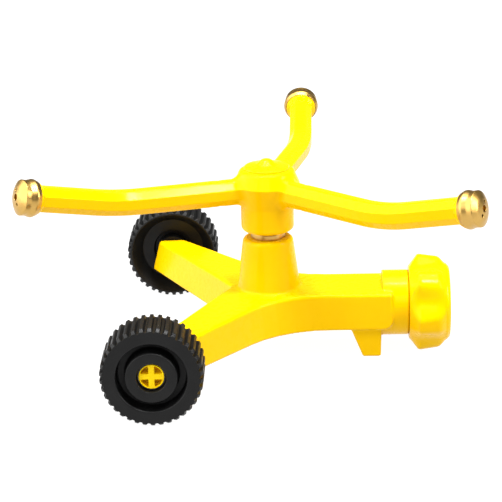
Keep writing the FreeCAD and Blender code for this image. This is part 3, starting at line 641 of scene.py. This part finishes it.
# ---------------------------------------------------------------- hose nut
NUT_LOBE_PROFILE = outline([
    (9.58, 57.8, 0), (15.0, 57.8, 0.8), (20.0, 61.6, 1.5), (18.8, 70.2, 3.5), (15.2, 73.5, 0.5),
    (14.6, 74.3, 0.4), (9.58, 74.3, 0),
])
NUT_DRUM_PROFILE = outline([
    (9.58, 57.8, 0), (15.4, 57.8, 1.2), (15.8, 73.3, 0.8), (14.6, 74.3, 0.5), (9.58, 74.3, 0),
])
NUT_HOLLOW = outline([
    (0, 57.0, 0), (9.58, 57.0, 0), (9.58, 60.3, 0), (12.7, 60.3, 0), (12.7, 65.6, 0),
    (13.3, 65.6, 0), (13.3, 75.0, 0), (0, 75.0, 0),
])
NUT_LOBES = 6
SCALLOP_HEADING = 17.0
SCALLOP_CENTRE_R = 27.6
SCALLOP_R = 10.6


def nut_field(p):
    """Six broad lobes with scallops between on a short drum, bored out for the hose."""
    axis_at = (0, 0, PIPE_AXIS_Z)
    lobes = revolved(p, NUT_LOBE_PROFILE, axis_at, 0)
    for i in range(NUT_LOBES):
        angle = math.radians(SCALLOP_HEADING + i * 360.0 / NUT_LOBES)
        y = -SCALLOP_CENTRE_R * math.cos(angle)
        z = PIPE_AXIS_Z + SCALLOP_CENTRE_R * math.sin(angle)
        lobes = common(lobes, SCALLOP_R - np.hypot(p[:, 1] - y, p[:, 2] - z), 2.2)
    knob = join(lobes, revolved(p, NUT_DRUM_PROFILE, axis_at, 0), 0.6)
    return common(knob, -revolved(p, NUT_HOLLOW, axis_at, 0), 0.3)


def hose_thread():
    """The helical thread ridge in the nut's mouth, which rises and dies away over a quarter turn."""
    pitch, inner, outer = 2.2, 12.5, 13.32
    start, length, segments = 66.2, 7.6, 72
    run_out = segments / 4
    count = int(length / pitch * segments)
    section = [(-0.62, outer), (-0.2, inner), (0.2, inner), (0.62, outer)]
    points = []
    for i in range(count + 1):
        a = 2 * math.pi * i / segments
        height = min(1.0, (i + 1) / run_out, (count - i + 1) / run_out)
        for dx, r in section:
            radius = outer + (r - outer) * height
            x = start + pitch * i / segments + dx
            points.append((x, -radius * math.cos(a), PIPE_AXIS_Z + radius * math.sin(a)))
    faces = band_faces(count + 1, len(section), closed=False)
    return cleaned(new_object("hose_nut_thread", points, faces, "hose_nut", YELLOW, "yellow_paint"), 30)


# ---------------------------------------------------------------- wheels
WHEEL_PROFILE = outline([
    (5.05, 76.0, 0), (8.4, 76.0, 0.3), (8.4, 72.7, 0.4), (13.65, 72.7, 0.5), (17.9, 65.4, 0.4),
    (18.5, 65.4, 0.3), (20.4, 66.9, 0), (20.4, 81.0, 0), (18.9, 83.35, 0.5), (13.7, 83.35, 0.7),
    (13.7, 76.5, 0.9), (10.1, 76.5, 0.9), (10.1, 83.35, 0.7), (5.8, 83.35, 0.5), (5.7, 80.6, 0.2),
    (5.05, 80.6, 0),
], 5)
SEGMENTS_PER_RIB = 14
RIM_STEPS = 6
TREAD_BLEND = 0.14
TREAD_DISH = 0.12
# Shares of the way from a rib's middle to the middle of the gap beside it.
RIB_FOOT = 0.66
RIB_FLANK = 0.26


def tread_radius(angles):
    """Radius of the ribbed tread round the wheel."""
    share = np.abs((angles * WHEEL_RIBS / (2 * math.pi) + 0.5) % 1.0 - 0.5) * 2
    height = np.clip((RIB_FOOT - share) / RIB_FLANK, 0, 1)
    height = height * height * (3 - 2 * height)
    return TREAD_ROOT + (TREAD_CREST - TREAD_ROOT) * height - TREAD_DISH * share * share


def wheel_rows():
    """The wheel's (radius, height) rings, closer together where the tread cuts them."""
    rows = []
    for i, (r, y) in enumerate(WHEEL_PROFILE):
        next_r, next_y = WHEEL_PROFILE[(i + 1) % len(WHEEL_PROFILE)]
        steps = RIM_STEPS if max(r, next_r) > TREAD_ROOT - 0.3 else 1
        rows.extend((r + (next_r - r) * k / steps, y + (next_y - y) * k / steps) for k in range(steps))
    return rows


def wheel_object(name, side):
    """A wheel turned about its axle, with its rim cut back to the tread's ribs."""
    segments = WHEEL_RIBS * SEGMENTS_PER_RIB
    angles = np.arange(segments) * 2 * math.pi / segments
    tread = tread_radius(angles)
    rows = wheel_rows()
    points = []
    for r, y in rows:
        radius = np.full(segments, r)
        if r > TREAD_ROOT - 1:
            gap = np.clip(0.5 + 0.5 * (tread - r) / TREAD_BLEND, 0, 1)
            radius = tread * (1 - gap) + r * gap - TREAD_BLEND * gap * (1 - gap)
        x = AXLE_X + radius * np.sin(angles)
        z = AXLE_Z + radius * np.cos(angles)
        points.append(np.stack([x, np.full(segments, side * y), z], 1))
    faces = band_faces(len(rows), segments, closed=True)
    wheel = new_object(name + "_tyre", np.vstack(points), faces,
                       name, BLACK_PLASTIC, "black_plastic", (name,))
    return cleaned(wheel, 40)


PIN_CROSS_HALF = 1.2
PIN_WELL_R = 4.4
PIN_WELL_FLOOR = 77.0
CLIP_GROOVE_R = 4.75
CLIP_GROOVE_Y = 81.0
CLIP_GROOVE_HALF = 0.25


def pin_field(p):
    """Axle pin in (x, height along the axle, z), with a standing cross in its hollow end."""
    x, h, z = p.T
    r = np.hypot(x, z)
    body = common(np.maximum(r - PIN_R, LEG_END_Y - h), h - PIN_END_Y, 0.35)
    cross = np.minimum(np.abs(x), np.abs(z)) - PIN_CROSS_HALF
    well = common(common(r - PIN_WELL_R, -cross, 0.3), PIN_WELL_FLOOR - h, 0.3)
    body = common(body, -well, 0.3)
    groove = np.maximum(np.abs(h - CLIP_GROOVE_Y) - CLIP_GROOVE_HALF, CLIP_GROOVE_R - r)
    return np.maximum(body, -groove)


def pin_object(name, side):
    """An axle pin on the +Y side, or mirrored to the other."""
    points, faces, normals = surface_net(pin_field, (-6, 68, -6), (6, 83, 6), 0.17)
    flip = np.array([1.0, side, 1.0])
    points = points * flip + np.array([AXLE_X, 0, AXLE_Z])
    normals = normals * flip
    if side < 0:
        faces = faces[:, ::-1]
    return new_object(name + "_head", points, faces, "base", YELLOW_PLASTIC, "yellow_plastic",
                      (name,), normals)


# ---------------------------------------------------------------- build
def build_arms_and_nozzles():
    """Each arm with its flange, and its nozzle turned on the end of it."""
    points, faces, normals = surface_net(nozzle_field, (-8.5, -8.5, -1), (8.5, 8.5, 9.6), 0.2)
    for number, tip_heading in enumerate(ARM_TIP_HEADINGS, start=1):
        arm_tube(number, tip_heading)
        arm_end(number, tip_heading)
        _, _, bend, last = arm_path(tip_heading)
        turn = math.radians(NOZZLE_TURNS[number - 1])
        cos, sin = math.cos(turn), math.sin(turn)
        spin = np.array([[cos, sin, 0], [-sin, cos, 0], [0, 0, 1]])
        name = "nozzle_%d" % number
        new_object(name + "_cap", aimed(points @ spin, bend + last * TIP_REACH, last), faces[:, ::-1],
                   name, BRASS, "brass", (name,), aimed(normals @ spin, (0, 0, 0), last))


def build_sprinkler():
    """Every piece that is drawn, each on the body that it moves with."""
    finish_cad_nodes()
    net_object("base_shell", base_field, (-56, -71, -1.5), (60, 71, 50.5), 0.75,
               "base", YELLOW, "yellow_paint", ("base_casting",))
    net_object("hub_shell", hub_field, (-27, -27, 50.5), (27, 27, 79.5), 0.42,
               "rotor", YELLOW, "yellow_paint", ("rotor_hub",), lambda p: hub_field(p, 0.0))
    cap = new_object("cap_dome", *turned_parts(CAP_CORNERS),
                     "rotor", YELLOW, "yellow_paint", ("hub_cap",))
    cleaned(cap, 45)
    build_arms_and_nozzles()
    net_object("hose_nut_knob", nut_field, (56.5, -22, -3), (75.5, 22, 41.5), 0.42,
               "hose_nut", YELLOW, "yellow_paint", ("swivel_nut",))
    hose_thread()
    collar = new_object("bearing_collar", *turned_parts(BEARING_RING_CORNERS),
                        "base", BRASS, "brass", ("bearing_ring",))
    cleaned(collar, 40)
    for name, side in (("left", 1), ("right", -1)):
        wheel_object("wheel_" + name, side)
        pin_object("axle_pin_" + name, side)


# ---------------------------------------------------------------- studio
LIGHT_TARGET_Z = 45
FLOOR_HALF = 6.0
FLOOR_Z = -0.0003
FLOOR_GLOW = 0.97
WORLD_STRENGTH = 0.12
CAMERA_ANGLES = (1.59, 18.53, 1.45)
CAMERA_AT = (15.98, -833.04, 321.84)
CAMERA_LENS = 152.68
CAMERA_SENSOR = 36.0


def softbox(name, azimuth, elevation, distance, size, radiance):
    """A rectangular light that looks at the rotor from a heading and elevation in degrees."""
    target = Vector(place([0, 0, LIGHT_TARGET_Z]))
    level = math.cos(math.radians(elevation))
    away = Vector(heading(azimuth) * level + np.array([0, 0, math.sin(math.radians(elevation))]))
    light = bpy.data.lights.new(name, "AREA")
    light.shape = "RECTANGLE"
    light.size, light.size_y = size
    light.energy = radiance * math.pi * size[0] * size[1]
    obj = bpy.data.objects.new(name, light)
    obj.location = target + away * distance
    obj.rotation_euler = (-away).to_track_quat("-Z", "Y").to_euler()
    bpy.context.scene.collection.objects.link(obj)


def make_floor():
    """A white floor that glows a little, just under the wheels."""
    corners = [(x * FLOOR_HALF, y * FLOOR_HALF, 0) for x, y in ((-1, -1), (1, -1), (1, 1), (-1, 1))]
    mesh = bpy.data.meshes.new("floor")
    mesh.from_pydata(corners, [], [(0, 1, 2, 3)])
    floor = bpy.data.objects.new("floor", mesh)
    floor.location.z = FLOOR_Z
    bpy.context.scene.collection.objects.link(floor)
    material = surface("floor_white", ((0.10, 0.10, 0.10), (0.11, 0.11, 0.11)), 2.0, (0.6, 0.7), 20.0,
                       (60.0, 0.01, 0.0001), Specular_IOR_Level=0.2)
    shader = material.node_tree.nodes["Principled BSDF"]
    shader.inputs["Emission Color"].default_value = (1, 1, 1, 1)
    shader.inputs["Emission Strength"].default_value = FLOOR_GLOW
    mesh.materials.append(material)


def make_camera():
    """The camera, from its heading, elevation and roll in degrees and its place in the spindle's frame."""
    azimuth, elevation, roll = (math.radians(angle) for angle in CAMERA_ANGLES)
    away = math.cos(elevation)
    back = np.array([math.sin(azimuth) * away, -math.cos(azimuth) * away, math.sin(elevation)])
    level = np.array([math.cos(azimuth), math.sin(azimuth), 0])
    upright = np.cross(back, level)
    right = math.cos(roll) * level - math.sin(roll) * upright
    up = math.sin(roll) * level + math.cos(roll) * upright
    camera_data = bpy.data.cameras.new("camera")
    camera_data.lens = CAMERA_LENS
    camera_data.sensor_width = CAMERA_SENSOR
    camera = bpy.data.objects.new("camera", camera_data)
    bpy.context.scene.collection.objects.link(camera)
    at = place(CAMERA_AT)
    rows = [[right[i], up[i], back[i], at[i]] for i in range(3)] + [[0, 0, 0, 1]]
    camera.matrix_world = Matrix(rows)
    bpy.context.scene.camera = camera


def make_lights():
    """A dim white world and the softboxes round the sprinkler."""
    world = bpy.data.worlds.new("studio")
    bpy.context.scene.world = world
    world.use_nodes = True
    background = world.node_tree.nodes["Background"]
    background.inputs["Color"].default_value = (1, 1, 1, 1)
    background.inputs["Strength"].default_value = WORLD_STRENGTH
    softbox("overhead", 90.0, 86.0, 1.0, (1.0, 0.8), 4.5)
    softbox("overhead_strip", 270.0, 88.0, 0.9, (0.7, 0.065), 70.0)
    softbox("streak", 314.0, 61.0, 0.9, (0.22, 0.05), 120.0)
    softbox("front", 262.0, 30.0, 1.3, (0.8, 0.5), 2.2)
    softbox("left", 191.0, 30.0, 1.0, (1.6, 1.2), 3.4)
    softbox("right", 345.0, 25.0, 0.9, (0.3, 0.5), 12.0)


build_sprinkler()
make_floor()
make_camera()
make_lights()
bpy.context.scene.view_settings.view_transform = "Standard"
